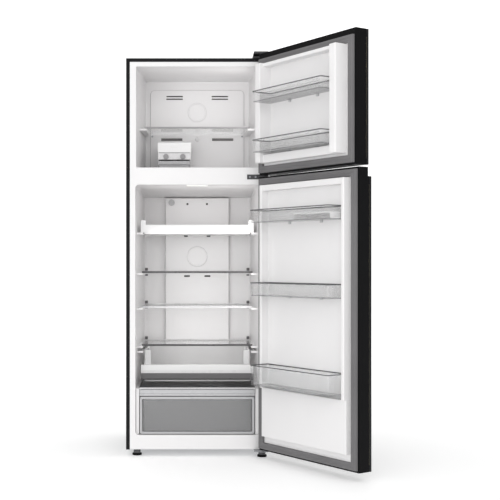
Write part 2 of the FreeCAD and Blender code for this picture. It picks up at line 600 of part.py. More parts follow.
def shelves():
    panes = []
    trims = []
    wide = ("-shelf_half", "shelf_half")
    for level in ("shelf_a", "shelf_b", "shelf_c"):
        panes.append(box("pane", wide, ("shelf_front + 4", "shelf_back - 4"),
                         (level, f"{level} + glass")))
        for y in (("shelf_front", "shelf_front + trim"), ("shelf_back - trim", "shelf_back")):
            rail = rounded(box("trim_bar", wide, y, (level, f"{level} + glass + 4")), 1.5, "x")
            seat = box("trim_seat", BEYOND, ("shelf_front + 4", "shelf_back - 4"),
                       (level, f"{level} + glass"))
            trims.append(cut("shelf_edge", rail, seat))
    frz_wide = ("-frz_shelf_half", "frz_shelf_half")
    edge = rounded(box("frz_trim", frz_wide, ("frz_shelf_front", "frz_shelf_front + trim"),
                       ("frz_shelf", "frz_shelf + glass + 4")), 1.5, "x")
    seat = box("frz_seat", BEYOND, ("frz_shelf_front + 4", "frz_shelf_back"),
               ("frz_shelf", "frz_shelf + glass"))
    trims.append(cut("frz_edge", edge, seat))
    part("glass_shelves", group("panes", *panes))
    part("freezer_shelf", rounded(
        box("frz_pane", frz_wide, ("frz_shelf_front + 4", "frz_shelf_back"),
            ("frz_shelf", "frz_shelf + glass")), 6, "z",
        lambda middle: middle.y > DIMENSIONS["frz_shelf_back"] - 9))
    part("shelf_trims", group("trim_set", *trims))


def chiller_tray():
    body = tub("tray_tub", ("-ledge_half + 3", "ledge_half - 3"), ("shelf_front + 5", "tray_back"),
               ("tray_z - 6", "tray_high"), "wall", 10)
    rails = []
    for side, span in sides("ledge_half - 5", "tray_half - 1"):
        rails.append(box(f"{side}_tray_rail", span, ("shelf_front + 6", "tray_back - 10"),
                         ("tray_z", "tray_z + 4")))
    front = rounded(box("tray_front", ("-tray_half", "tray_half"),
                        ("shelf_front", "shelf_front + 5"), ("tray_z", "tray_high")), 1.5, "x")
    ears = []
    for side, span in sides("tray_half - 22", "tray_half"):
        ears.append(rounded(box(f"{side}_ear", span, ("shelf_front", "shelf_front + 5"),
                                ("tray_z + 5", "tray_ear")), 6, "y",
                            lambda middle: middle.z > DIMENSIONS["tray_ear"] - 8))
    part("chiller_tray", fuse("tray", body, front, *rails, *ears))


def upper_drawer():
    body = tub("drawer_tub", ("-drawer_half", "drawer_half"), ("shelf_front + 6", "shelf_back - 8"),
               ("drawer_z", "drawer_high"), "wall", 10)
    low_front = box("drawer_low_front", ("-dip_half", "dip_half"), ("shelf_front + 4", "shelf_front + 40"),
                    ("band_high", "drawer_high + 1"))
    runners = []
    for side, span in sides("drawer_half - 2", "ledge_half + 8"):
        runners.append(box(f"{side}_runner", span, ("shelf_front + 20", "shelf_back - 20"),
                           ("drawer_rail_z", "drawer_high")))
    part("upper_drawer", fuse("drawer", cut("drawer_open", body, low_front), *runners))
    band = rounded(box("drawer_band", ("-drawer_front_half", "drawer_front_half"),
                       ("shelf_front - 2", "shelf_front + 6"), ("band_low", "band_high")),
                   3, "xyz", lambda middle: middle.y < DIMENSIONS["shelf_front"])
    grip = box("drawer_grip", ("-grip_half", "grip_half"), ("shelf_front - 3", "shelf_front + 2"),
               ("band_low + 4", "band_mid"))
    part("upper_drawer_front", cut("drawer_face", band, grip))


def crisper():
    body = tub("crisper_tub", ("-crisper_half + crisper_in", "crisper_half - crisper_in"),
               ("crisper_y + crisper_face", "crisper_back"),
               ("crisper_z", "crisper_high - 22"), "wall", 12)
    part("crisper_drawer", body)
    face = rounded(box("crisper_plate", ("-crisper_half", "crisper_half"),
                       ("crisper_y", "crisper_y + crisper_face"), ("crisper_z", "crisper_high")),
                   3, "xyz", lambda middle: middle.y < DIMENSIONS["crisper_y"] + 1)
    window = rounded(box("crisper_window", ("panel_in - crisper_half", "crisper_half - panel_in"),
                         ("crisper_y - 1", "crisper_y + crisper_face + 1"),
                         ("panel_low", "panel_high")), 8, "y")
    part("crisper_front", cut("crisper_frame", face, window))
    part("crisper_cover", rounded(
        box("crisper_lid", ("-crisper_half - 2.5", "crisper_half + 2.5"), ("crisper_y", "step_y - 2"),
            ("lid_z", "lid_z + lid_thick")), 1, "x"))


# ---------------------------------------------------------------- ice maker

def ice_maker():
    wide = ("ice_left", "ice_right")
    outer = rounded(box("ice_case", wide, ("ice_front", "ice_back"), ("ice_bin_z", "ice_top")),
                    4, "yz", lambda middle: middle.z > DIMENSIONS["ice_mid"])
    between = inset(wide, "ice_play")
    room = box("ice_room", between, inset(("ice_front", "ice_back"), "ice_play"),
               ("ice_mid - 1", "ice_top - ice_play"))
    bay = box("ice_bay", between, ("ice_front - 1", "ice_back + 1"), ("ice_bin_z - 1", "ice_mid"))
    centres = ("ice_left + ice_inset", "ice_right - ice_inset")
    fill = ("ice_axis_z - ice_deep + 1", "ice_axis_z + ice_deep - 3")
    bores = []
    for x in centres:
        bores.append(rod("ice_bearing", "y", (x, "ice_front - 1", "ice_axis_z"), "200",
                         "pin + pin_play"))
    part("ice_maker_housing", cut("ice_shell", outer, room, bay, *bores))
    for side, x in zip(("left", "right"), centres):
        tray = tub(f"ice_{side}", (f"{x} - ice_half", f"{x} + ice_half"),
                   ("ice_front + 8", "ice_back - 14"),
                   ("ice_axis_z - ice_deep", "ice_axis_z + ice_deep"), "web_thick", 5)
        rows = []
        for count in range(6):
            y = f"web_first + {count} * web_pitch"
            rows.append(box("ice_web", (f"{x} - ice_half + 1", f"{x} + ice_half - 1"),
                            (y, f"{y} + web_thick"), fill))
        rows.append(box("ice_spine", (f"{x} - web_thick / 2", f"{x} + web_thick / 2"),
                        ("ice_front + 9", "ice_back - 15"), fill))
        front_pin = rod("ice_pin", "y", (x, "knob_y + 8", "ice_axis_z"), "13", "pin")
        back_pin = rod("ice_rear_pin", "y", (x, "ice_back - 15", "ice_axis_z"), "14", "pin")
        knob = rounded_rim(rod("ice_knob", "y", (x, "knob_y", "ice_axis_z"),
                               "11.5", "knob"), 1.2)
        scallops = []
        for count in range(8):
            turn = FreeCAD.Rotation(DIRECTIONS["y"], 45 * count).multVec(FreeCAD.Vector(13, 0, 0))
            scallops.append(rod("scallop", "y", (f"{x} + {turn.x}", "knob_y - 1",
                                                 f"ice_axis_z + {turn.z}"), "9", "3"))
        grip = cut(f"ice_grip_{side}", knob, *scallops)
        part(f"ice_tray_{side}", fuse(f"ice_twist_{side}", tray, front_pin, back_pin, grip, *rows))
    narrow = ("ice_left + 3.5", "ice_right - 3.5")
    bin_body = tub("ice_bin_tub", narrow, ("ice_front + 2", "ice_back"),
                   ("ice_bin_z", "ice_bin_high"), "wall", 8)
    low_back = box("ice_bin_notch", ("ice_left - 1", "ice_right + 1"),
                   ("ice_lip_back", "ice_back + 1"), ("ice_bin_low", "ice_bin_high + 1"))
    lip = rounded(box("ice_bin_lip", narrow, ("ice_lip_back - 4", "ice_front + 3"),
                      ("ice_bin_high - 16", "ice_bin_high")), 2, "x")
    part("ice_bin", cut("ice_drawer", fuse("ice_bin_solid", bin_body, lip), low_back))


# ---------------------------------------------------------------- doors

FREE = "hinge_in - cab_w"
FACE = "axis_deep - door_thick"
BACK = "axis_deep"


def inset(span, by):
    return f"({span[0]}) + {by}", f"({span[1]}) - {by}"


def door(name, low, high, top_cap, seal_top, panel_high, ribs, carrier):
    """One door: painted panel, black frame, thermoformed liner, insulation and seal."""
    wide = (FREE, "hinge_in")
    tall = (low, high)
    behind = f"{FACE} + panel_thick"
    skin_back = DIMENSIONS["axis_deep"] - DIMENSIONS["door_thick"] + DIMENSIONS["skin"]
    front = box(f"{name}_sheet", wide, (FACE, behind), (low, panel_high))
    hollow = box(f"{name}_sheet_room", inset(wide, "skin"), (f"{FACE} + skin", f"{behind} + 1"),
                 (f"{low} + skin", f"{panel_high} - skin"))
    part(f"{name}_panel", cut(f"{name}_pan", rounded(front, 3, "xz",
                              lambda middle: middle.y < skin_back), hollow), carrier)

    ring = rounded(box(f"{name}_ring", wide, (behind, BACK), tall), 3, "z")
    core = box(f"{name}_core", inset(wide, "frame_wall"),
               (f"{behind} - 1", f"{BACK} - door_liner"),
               (f"{low} + door_cap", f"{high} - {top_cap}"))
    plate_x = inset(wide, "gasket_in + plate_lap")
    plate_z = (f"{low} + gasket_in + plate_lap", f"{high} - {seal_top} - plate_lap")
    seat = box(f"{name}_plate_seat", plate_x, (f"{BACK} - door_liner - 0.01", f"{BACK} + 1"),
               plate_z)
    bores = []
    for z in (f"{low} - 1", f"{high} - pin_depth - 1"):
        bores.append(rod(f"{name}_bore", "z", ("0", "0", z), "pin_depth + 2", "pin + pin_play"))
    grips = []
    if top_cap == "grip_cap":
        grips.append(box(f"{name}_recess", (f"{FREE} - 1", "hinge_in + 1"),
                         (f"{behind} - 1", f"{behind} + 7"), (f"{high} - grip_drop", f"{high} + 1")))
        grips.append(box(f"{name}_pocket", inset(wide, "20"), (f"{behind} - 1", f"{behind} + grip_gap"),
                         (f"{high} - grip_drop - grip_deep", f"{high} - grip_drop + 1")))
    else:
        grips.append(box(f"{name}_pocket", inset(wide, "60"), (f"{behind} + 2", f"{behind} + 16"),
                         (f"{low} - 1", f"{low} + 18")))
    part(f"{name}_frame", cut(f"{name}_edge", ring, core, seat, *bores, *grips), carrier)

    plate = box(f"{name}_plate", plate_x, (f"{BACK} - door_liner", BACK), plate_z)
    raised = [box(f"{name}_rib", x, (BACK, f"{BACK} + {depth}"), z) for x, depth, z in ribs]
    filled = [box(f"{name}_rib_room", inset(x, "wall"),
                  (f"{BACK} - door_liner - 1", f"{BACK} + {depth} - wall"), inset(z, "wall"))
              for x, depth, z in ribs]
    shape = fuse(f"{name}_form", plate, *raised)
    doc.recompute()
    crest = shape.Shape.BoundBox.YMax - 0.5
    skin = rounded(shape, 4, "xz", lambda middle: middle.y > crest)
    part(f"{name}_liner", cut(f"{name}_inner", skin, *filled), carrier)

    panel_core = box(f"{name}_panel_core", inset(wide, "frame_wall"), (f"{FACE} + skin", behind),
                     (f"{low} + door_cap", f"{panel_high} - 30"))
    body_core = box(f"{name}_body_core", inset(wide, "frame_wall"),
                    (behind, f"{BACK} - door_liner"), (f"{low} + door_cap", f"{high} - {top_cap}"))
    part(f"{name}_foam", fuse(f"{name}_fill", panel_core, body_core), carrier)

    seal_z = (f"{low} + gasket_in", f"{high} - {seal_top}")
    seal = rounded(box(f"{name}_seal", inset(wide, "gasket_in"),
                       (BACK, f"{BACK} + gasket_high"), seal_z),
                   3, "xz", lambda middle: middle.y > DIMENSIONS["axis_deep"] + 7)
    seal_room = box(f"{name}_seal_room", inset(wide, "gasket_in + gasket_wide"),
                    (f"{BACK} - 1", f"{BACK} + 20"), inset(seal_z, "gasket_wide"))
    part(f"{name}_gasket", cut(f"{name}_strip", seal, seal_room), carrier)


def door_bins(name, label, x, levels, carrier):
    bins = []
    for low, high in levels:
        body = tub(f"{name}_bin", x, (f"{BACK} + 0.5", "bin_front"), (low, high), "bin_wall", 14)
        bins.append(body)
    part(label, group(f"{name}_bins", *bins), carrier)


def doors():
    high_room = ("frz_floor + 8", "frz_ceiling - 10")
    free_rib = (f"{FREE} + frz_rib_free", f"{FREE} + frz_rib_free + frz_rib_wide")
    hinge_rib = ("-rib_hinge - frz_rib_wide", "-frz_rib_end")
    across = (free_rib[0], hinge_rib[1])
    door("freezer_door", "frz_door_low", "frz_door_high", "door_cap", "gasket_top",
         "frz_door_high", [
        (free_rib, "frz_rib_high", high_room),
        (hinge_rib, "frz_rib_high", high_room),
        (across, "frz_rib_high - cross_drop", (high_room[0], "frz_floor + cross_low")),
        (across, "frz_rib_high - cross_drop", ("frz_ceiling - cross_top", high_room[1])),
    ], "freezer_door")
    door_bins("freezer", "freezer_door_bins", (f"{free_rib[1]} + 0.5", f"{hinge_rib[0]} - 0.5"),
              ((1262, 1315), (1467, 1512)), "freezer_door")

    low_room = ("plinth_top", "frg_ceiling - 10")
    free_rib = (f"{FREE} + rib_free", f"{FREE} + rib_free + rib_wide")
    hinge_rib = ("-rib_hinge - rib_wide", "-rib_hinge")
    across = (free_rib[0], hinge_rib[1])
    door("fridge_door", "frg_door_low", "frg_door_high", "grip_cap", "gasket_in",
         "frg_door_high - grip_drop", [
             (free_rib, "rib_high", low_room),
             (hinge_rib, "rib_high", low_room),
             (across, "rib_high - 6", ("frg_ceiling - frg_cross_top", low_room[1])),
             (across, "plinth_high", ("frg_floor + 10", "plinth_top")),
         ], "fridge_door")
    bin_x = (f"{free_rib[1]} + 0.5", f"{hinge_rib[0]} - 0.5")
    door_bins("fridge", "fridge_door_bins", bin_x,
              ((315, 399), (680, 735), (978, 1031)), "fridge_door")
    egg = rounded(box("egg_plate", (f"{bin_x[0]} + 6", f"{bin_x[0]} + 216"),
                      ("bin_front - 89", "bin_front - 9"),
                      ("egg_top - egg_thick", "egg_top")), 6, "z")
    cups = []
    for column in range(5):
        for line in range(2):
            x = f"{bin_x[0]} + 28 + {column} * egg_pitch"
            y = f"bin_front - 69 + {line} * (egg_pitch - 1)"
            cups.append(rod("egg_cup_hole", "z", (x, y, "egg_top - egg_thick - 1"),
                            "egg_thick + 3", "egg_cup"))
    skirts = []
    for x in (f"{bin_x[0]} + 6", f"{bin_x[0]} + 214"):
        skirts.append(box("egg_leg", (x, f"{x} + 2"), ("bin_front - 81", "bin_front - 17"),
                          ("egg_low", "egg_top - 3")))
    part("egg_tray", cut("eggs", fuse("egg_frame", egg, *skirts), *cups), "fridge_door")


cabinet_shell()
base()
foot("left", "foot_left_x", "foot_left_y", "cab_bottom + sheet - 0.1")
foot("right", "foot_right_x", "foot_right_y", "cab_bottom - 0.4")
liners()
evaporator_parts()
duct_parts()
machine_room()
hinges()
shelves()
chiller_tray()
upper_drawer()
crisper()
ice_maker()
doors()
doc.recompute()

failed = [item.Label for item in doc.Objects if {"Invalid", "Error"} & set(item.State)]
if failed:
    raise RuntimeError(f"objects that could not be made: {failed}")
for piece in parts:
    if piece.Shape.isNull() or not piece.Shape.isValid() or not piece.Shape.Solids:
        raise RuntimeError(f"{piece.Label} has no valid solid")
for piece in parts:
    piece.Shape.exportStep(f"parts/{piece.Label}.step")
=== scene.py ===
import json
import math

import bmesh
import bpy
from mathutils import Matrix, Vector

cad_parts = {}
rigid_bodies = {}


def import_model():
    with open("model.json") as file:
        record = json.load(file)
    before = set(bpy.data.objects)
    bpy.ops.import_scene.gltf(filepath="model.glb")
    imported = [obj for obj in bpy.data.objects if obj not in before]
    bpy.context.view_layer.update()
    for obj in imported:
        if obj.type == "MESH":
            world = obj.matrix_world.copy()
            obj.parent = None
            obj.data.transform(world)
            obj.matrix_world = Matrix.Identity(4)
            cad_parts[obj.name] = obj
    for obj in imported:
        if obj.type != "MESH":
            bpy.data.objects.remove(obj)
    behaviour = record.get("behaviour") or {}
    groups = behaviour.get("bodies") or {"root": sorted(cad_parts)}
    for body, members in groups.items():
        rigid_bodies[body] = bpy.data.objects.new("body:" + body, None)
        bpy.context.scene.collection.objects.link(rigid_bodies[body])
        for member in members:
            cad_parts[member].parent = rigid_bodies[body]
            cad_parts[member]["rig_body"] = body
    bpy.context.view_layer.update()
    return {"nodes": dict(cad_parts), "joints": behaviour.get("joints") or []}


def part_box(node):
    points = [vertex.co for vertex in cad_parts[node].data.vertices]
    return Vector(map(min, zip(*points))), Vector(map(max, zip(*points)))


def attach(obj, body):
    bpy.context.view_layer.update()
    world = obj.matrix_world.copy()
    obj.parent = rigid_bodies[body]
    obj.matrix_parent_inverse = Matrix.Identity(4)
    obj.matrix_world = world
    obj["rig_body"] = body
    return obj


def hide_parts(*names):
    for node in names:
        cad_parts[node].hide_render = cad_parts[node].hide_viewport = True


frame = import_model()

# ---------------------------------------------------------------- places taken from the frame

MM = 0.001
scene = bpy.context.scene
nodes = frame["nodes"]
WELD = 0.02 * MM
left_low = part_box("side_panel_left")[0]
right_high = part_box("side_panel_right")[1]
CABINET = Matrix.Translation(((left_low.x + right_high.x) / 2, left_low.y, 0.0))
FRONT = CABINET.translation
DOORS = {}
for joint in frame["joints"]:
    if joint["child"].endswith("_door"):
        x, y, z = joint["pos_m"]
        opened = Matrix.Rotation(math.radians(-joint["range_deg"][0]), 4, "Z")
        DOORS[joint["child"]] = Matrix.Translation((x, y, 0.0)) @ opened


def islands(node, matrix=CABINET):
    """(lowest, highest) corner of each solid of a CAD node in a local frame, lowest first."""
    work = bmesh.new()
    work.from_mesh(nodes[node].data)
    bmesh.ops.remove_doubles(work, verts=work.verts, dist=WELD)
    back = matrix.inverted()
    found = []
    waiting = set(work.verts)
    while waiting:
        stack = [waiting.pop()]
        corners = []
        while stack:
            vert = stack.pop()
            corners.append(back @ vert.co)
            for edge in vert.link_edges:
                other = edge.other_vert(vert)
                if other in waiting:
                    waiting.discard(other)
                    stack.append(other)
        low = Vector([min(c[i] for c in corners) for i in range(3)])
        high = Vector([max(c[i] for c in corners) for i in range(3)])
        found.append((low, high))
    work.free()
    return sorted(found, key=lambda pair: pair[0].z)


def local_box(node, matrix=CABINET):
    """A whole node's box in metres of the cabinet or door frame."""
    boxes = islands(node, matrix)
    low = Vector([min(pair[0][i] for pair in boxes) for i in range(3)])
    high = Vector([max(pair[1][i] for pair in boxes) for i in range(3)])
    return low, high


# ---------------------------------------------------------------- materials

QUIET = {"Specular IOR Level": 0.08}
PLASTIC_IOR = 1.49
GLASS_IOR = 1.52


class Shader:
    """A Principled material with helpers for the nodes that feed it."""

    def __init__(self, name):
        self.material = bpy.data.materials.new(name)
        self.material.use_nodes = True
        self.tree = self.material.node_tree
        self.main = self.tree.nodes["Principled BSDF"]
        self.place = self.node("ShaderNodeTexCoord").outputs["Object"]

    def node(self, kind, **values):
        made = self.tree.nodes.new(kind)
        for name, value in values.items():
            setattr(made, name, value)
        return made

    def link(self, source, target):
        self.tree.links.new(source, target)

    def noise(self, scale, detail=4.0, stretch=None):
        made = self.node("ShaderNodeTexNoise")
        made.inputs["Scale"].default_value = scale
        made.inputs["Detail"].default_value = detail
        source = self.place
        if stretch:
            mapping = self.node("ShaderNodeMapping")
            mapping.inputs["Scale"].default_value = stretch
            self.link(self.place, mapping.inputs["Vector"])
            source = mapping.outputs["Vector"]
        self.link(source, made.inputs["Vector"])
        return made.outputs["Fac"]

    def spread(self, source, low, high):
        made = self.node("ShaderNodeMapRange")
        made.inputs["From Min"].default_value = 0.3
        made.inputs["From Max"].default_value = 0.7
        made.inputs["To Min"].default_value = low
        made.inputs["To Max"].default_value = high
        self.link(source, made.inputs["Value"])
        return made.outputs["Result"]

    def cells(self, scale):
        made = self.node("ShaderNodeTexVoronoi")
        made.inputs["Scale"].default_value = scale
        self.link(self.place, made.inputs["Vector"])
        return made

    def rough(self, source, low, high):
        self.link(self.spread(source, low, high), self.main.inputs["Roughness"])

    def colour(self, first, second, factor):
        made = self.node("ShaderNodeMix", data_type="RGBA")
        made.inputs[6].default_value = (*first, 1.0)
        made.inputs[7].default_value = (*second, 1.0)
        self.link(factor, made.inputs[0])
        self.link(made.outputs[2], self.main.inputs["Base Color"])

    def bump(self, height, distance, strength=1.0, below=None):
        made = self.node("ShaderNodeBump")
        made.inputs["Distance"].default_value = distance
        made.inputs["Strength"].default_value = strength
        self.link(height, made.inputs["Height"])
        if below:
            self.link(below, made.inputs["Normal"])
        self.link(made.outputs["Normal"], self.main.inputs["Normal"])
        return made.outputs["Normal"]

    def set(self, **values):
        for name, value in values.items():
            self.main.inputs[name.replace("_", " ")].default_value = value


def shade(colour, factor):
    return tuple(min(channel * factor, 1.0) for channel in colour)


def plastic(name, colour, rough, grain=0.012, grain_scale=1800.0, wave=0.25, tint=0.05, **more):
    """Moulded plastic: a fine eroded grain, a slow unevenness of the wall and faint handling."""
    look = Shader(name)
    cloud = look.noise(5.0)
    handling = look.noise(38.0, 6.0)
    unevenness = look.noise(9.0, 2.0)
    erosion = look.noise(grain_scale, 3.0)
    look.colour(shade(colour, 1 - tint), shade(colour, 1 + tint), look.spread(cloud, 0, 1))
    look.rough(handling, rough - 0.05, rough + 0.07)
    slow = look.bump(unevenness, wave * MM, 0.5)
    look.bump(erosion, grain * MM, 0.6, slow)
    look.set(**{"IOR": PLASTIC_IOR, **more})
    return look.material


def brushed(name, colour, rough, stretch, metal=1.0):
    """Rolled or brushed metal with fine parallel scratches."""
    look = Shader(name)
    lines = look.noise(60.0, 8.0, stretch)
    rolling = look.noise(6.0, 2.0)
    look.colour(shade(colour, 0.86), shade(colour, 1.12), look.spread(lines, 0, 1))
    look.rough(lines, rough - 0.06, rough + 0.1)
    slow = look.bump(rolling, 0.2 * MM, 0.4)
    look.bump(lines, 0.02 * MM, 0.5, slow)
    look.set(Metallic=metal)
    return look.material


def painted(name, colour, rough, peel=0.03):
    """Pre-coated sheet steel: pebbled film, faint rub marks and lighter worn edges."""
    look = Shader(name)
    worn = look.node("ShaderNodeNewGeometry").outputs["Pointiness"]
    edge = look.node("ShaderNodeMapRange")
    edge.inputs["From Min"].default_value = 0.53
    edge.inputs["From Max"].default_value = 0.62
    look.link(worn, edge.inputs["Value"])
    look.colour(colour, shade(colour, 1.7), edge.outputs["Result"])
    look.rough(look.noise(14.0, 8.0), rough - 0.02, rough + 0.03)
    slow = look.bump(look.noise(4.0, 2.0), 0.12 * MM, 0.5)
    look.bump(look.cells(620.0).outputs["Distance"], peel * MM, 0.5, slow)
    look.set(**QUIET)
    return look.material


def galvanised(name):
    """Zinc coated steel with its crystal spangle."""
    look = Shader(name)
    split = look.node("ShaderNodeSeparateColor")
    look.link(look.cells(150.0).outputs["Color"], split.inputs["Color"])
    look.colour((0.45, 0.46, 0.48), (0.57, 0.58, 0.59), split.outputs["Red"])
    look.rough(split.outputs["Green"], 0.3, 0.5)
    look.bump(look.noise(120.0, 4.0), 0.03 * MM, 0.5)
    look.set(Metallic=0.9)
    return look.material


def see_through(name, colour, rough, ior=PLASTIC_IOR, wave=0.12, alpha=0.5, clear=1.0):
    """Clear moulded plastic or glass with a slightly uneven surface and a few scuffs."""
    look = Shader(name)
    look.colour(colour, shade(colour, 0.97), look.spread(look.noise(7.0), 0, 1))
    look.rough(look.noise(55.0, 6.0), rough, rough + 0.05)
    look.bump(look.noise(12.0, 2.0), wave * MM, 0.3)
    look.set(**{"IOR": ior, "Transmission Weight": clear, "Alpha": alpha})
    return look.material


WHITE = plastic("white_liner", (0.79, 0.782, 0.784), 0.36, tint=0.01, wave=0.5)
GLOSS_WHITE = plastic("white_gloss", (0.77, 0.77, 0.768), 0.2, grain=0.004, tint=0.01)
PALE = plastic("pale_grey", (0.50, 0.50, 0.51), 0.3, tint=0.02)
SILVER = plastic("silver_grey", (0.135, 0.132, 0.135), 0.32, tint=0.04, Metallic=0.25)
TRIM_DARK = plastic("trim_dark", (0.07, 0.068, 0.07), 0.3, tint=0.06)
# Blocks in the air openings: painted shade of the hollows behind them, a lighter grey at the outlets.
VENT_SHADE = plastic("vent_painted_shade", (0.045, 0.042, 0.042), 0.6, tint=0.1)
OUTLET_SHADE = plastic("outlet_painted_shade", (0.17, 0.165, 0.165), 0.6, tint=0.05)
SEAM = plastic("seam_shadow", (0.30, 0.295, 0.30), 0.6, tint=0.05)
LIGHT = plastic("light_grey", (0.68, 0.675, 0.68), 0.28, tint=0.015)
BLACK = plastic("black_frame", (0.0045, 0.0045, 0.005), 0.42, grain=0.02, tint=0.1, **QUIET)
SEAL = plastic("door_seal", (0.165, 0.162, 0.165), 0.6, grain=0.03, wave=0.3, tint=0.08,
               **QUIET)
STEEL_PAINT = painted("graphite_coat", (0.010, 0.010, 0.0105), 0.42)
FACE_STEEL = brushed("graphite_face", (0.014, 0.0142, 0.015), 0.34, (1.0, 1.0, 60.0), 0.5)
ZINC = brushed("zinc_plate", (0.42, 0.43, 0.45), 0.32, (40.0, 1.0, 1.0))
DARK_ZINC = brushed("dark_plate", (0.11, 0.11, 0.115), 0.36, (1.0, 1.0, 40.0), 0.8)
SPANGLE = galvanised("galvanised_sheet")
ALUMINIUM = brushed("aluminium_fin", (0.72, 0.73, 0.74), 0.3, (1.0, 30.0, 1.0))
COPPER = brushed("copper_tube", (0.62, 0.30, 0.17), 0.28, (20.0, 1.0, 1.0))
CHARCOAL = plastic("charcoal_cover", (0.07, 0.07, 0.072), 0.45, grain=0.02, tint=0.08, **QUIET)
RUBBER = plastic("black_rubber", (0.022, 0.022, 0.022), 0.62, grain=0.04, tint=0.15)
PUMP = painted("pump_enamel", (0.012, 0.012, 0.012), 0.25, peel=0.05)
FOAM = plastic("foam_core", (0.72, 0.63, 0.38), 0.8, grain=0.2, grain_scale=900.0, tint=0.1)
CLEAR = see_through("clear_bin", (0.93, 0.94, 0.945), 0.03, alpha=0.16)
MILKY = see_through("milky_tray", (0.90, 0.895, 0.895), 0.2, alpha=0.8, clear=0.15)
FAINT = see_through("faint_drawer", (0.86, 0.86, 0.862), 0.12, alpha=0.62, clear=0.3)
# Smoked plastic, darkened further to paint the shade on the crisper cover under the upper drawer.
SHADED_COVER = see_through("smoked_cover_painted_shade", (0.03, 0.03, 0.031), 0.3, alpha=0.9, clear=0.1)
ICE_CLEAR = see_through("ice_drawer", (0.62, 0.62, 0.63), 0.16, alpha=0.8, clear=0.3)
SMOKE = see_through("frosted_crisper", (0.62, 0.62, 0.625), 0.16, wave=0.04, alpha=0.5, clear=0.3)
PANE = see_through("smoked_pane", (0.40, 0.40, 0.405), 0.06, wave=0.03, alpha=0.3, clear=0.4)
GLASS = see_through("shelf_glass", (0.90, 0.93, 0.925), 0.015, GLASS_IOR, 0.02, alpha=0.4)
RIM = see_through("rim_tint", (0.10, 0.10, 0.105), 0.1, alpha=0.7, clear=0.3)
LENS = plastic("lamp_lens", (0.92, 0.92, 0.9), 0.3,
               **{"Emission Color": (1.0, 0.97, 0.93, 1.0), "Emission Strength": 0.12})


# ---------------------------------------------------------------- mesh building

# Edges turning more than this, in degrees, are drawn sharp, or rounded on a CAD node's own shape.
DRAWN_SHARP = 38.0
ROUNDED_FROM = 32.0
SAME_PLANE = 0.6
LEAST_CORNER = 0.8 * MM
TURNED_STEPS = 48


def finish_piece(name, work, body, materials, replaced=(), sort=None):
    """Turn a bmesh into an object that rides on a body, with clean hard-surface normals."""
    mesh = bpy.data.meshes.new(name)
    work.to_mesh(mesh)
    work.free()
    made = bpy.data.objects.new(name, mesh)
    scene.collection.objects.link(made)
    materials = materials if isinstance(materials, (list, tuple)) else [materials]
    for material in materials:
        mesh.materials.append(material)
    for polygon in mesh.polygons:
        polygon.use_smooth = True
        if sort:
            polygon.material_index = sort(polygon)
    mesh.set_sharp_from_angle(angle=math.radians(DRAWN_SHARP))
    normals = made.modifiers.new("normals", "WEIGHTED_NORMAL")
    normals.keep_sharp = True
    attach(made, body)
    if replaced:
        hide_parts(*replaced)
    return made


def refined(node, width, materials, segments=2, sort=None):
    """A CAD node's own shape with its sharp edges rounded by a small radius."""
    work = bmesh.new()
    work.from_mesh(nodes[node].data)
    bmesh.ops.remove_doubles(work, verts=work.verts, dist=WELD)
    bmesh.ops.dissolve_limit(work, angle_limit=math.radians(SAME_PLANE),
                             use_dissolve_boundaries=False, verts=work.verts, edges=work.edges)
    sharp = [edge for edge in work.edges
             if edge.is_manifold and edge.calc_face_angle(0.0) > math.radians(ROUNDED_FROM)]
    bmesh.ops.bevel(work, geom=sharp, offset=width * MM, segments=segments, profile=0.5,
                    affect="EDGES", clamp_overlap=True, harden_normals=False)
    return finish_piece(node + "_finish", work, nodes[node]["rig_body"], materials, (node,),
                        sort=sort)


def outline(rect, radius, steps):
    """The points round a rectangle (u_low, u_high, v_low, v_high) with round corners."""
    u_low, u_high, v_low, v_high = rect
    radius = min(radius, (u_high - u_low) / 2 - 1e-6, (v_high - v_low) / 2 - 1e-6)
    points = []
    corners = ((u_high, v_high, 0), (u_low, v_high, 90), (u_low, v_low, 180), (u_high, v_low, 270))
    for u, v, start in corners:
        middle_u = u - math.copysign(radius, u - (u_low + u_high) / 2)
        middle_v = v - math.copysign(radius, v - (v_low + v_high) / 2)
        for step in range(steps + 1):
            turn = math.radians(start + 90 * step / steps)
            points.append((middle_u + radius * math.cos(turn), middle_v + radius * math.sin(turn)))
    return points


def eased(points, steps=4):
    """A profile with rounded corners, from points given as (inset, height, radius) in mm."""
    result = []
    for i, (inset, height, radius) in enumerate(points):
        here = Vector((inset, height)) * MM
        if radius == 0 or i in (0, len(points) - 1):
            result.append(tuple(here))
            continue
        before = Vector(points[i - 1][:2]) * MM - here
        after = Vector(points[i + 1][:2]) * MM - here
        reach = min(radius * MM, before.length * 0.49, after.length * 0.49)
        start = here + before.normalized() * reach
        end = here + after.normalized() * reach
        for step in range(steps + 1):
            t = step / steps
            result.append(tuple(start * (1 - t) ** 2 + here * 2 * t * (1 - t) + end * t * t))
    return result


def moulding(rect, corner, profile, place, steps=6, closed=False):
    """Rounded rectangles stacked along a profile of (inset, height): a thermoformed shape.

    A closed profile is a band's section, and goes on from its last point to its first.
    """
    work = bmesh.new()
    rings = []
    for inset, height in profile:
        inner = (rect[0] + inset, rect[1] - inset, rect[2] + inset, rect[3] - inset)
        loop = outline(inner, max(corner - inset, LEAST_CORNER), steps)
        rings.append([work.verts.new(place(u, v, height)) for u, v in loop])
    if closed:
        rings.append(rings[0])
    for first, second in zip(rings, rings[1:]):
        for i in range(len(first)):
            j = (i + 1) % len(first)
            work.faces.new((first[i], first[j], second[j], second[i]))
    if not closed:
        work.faces.new(rings[0])
        work.faces.new(rings[-1])
    bmesh.ops.recalc_face_normals(work, faces=work.faces)
    return work


def upright(matrix):
    """Profile heights run along +Z: for tubs and bins."""
    return lambda u, v, height: matrix @ Vector((u, v, height))


def facing(matrix, depth, out):
    """Profile heights run along Y from a given depth: for doors and fronts."""
    return lambda u, v, height: matrix @ Vector((u, depth + out * height, v))


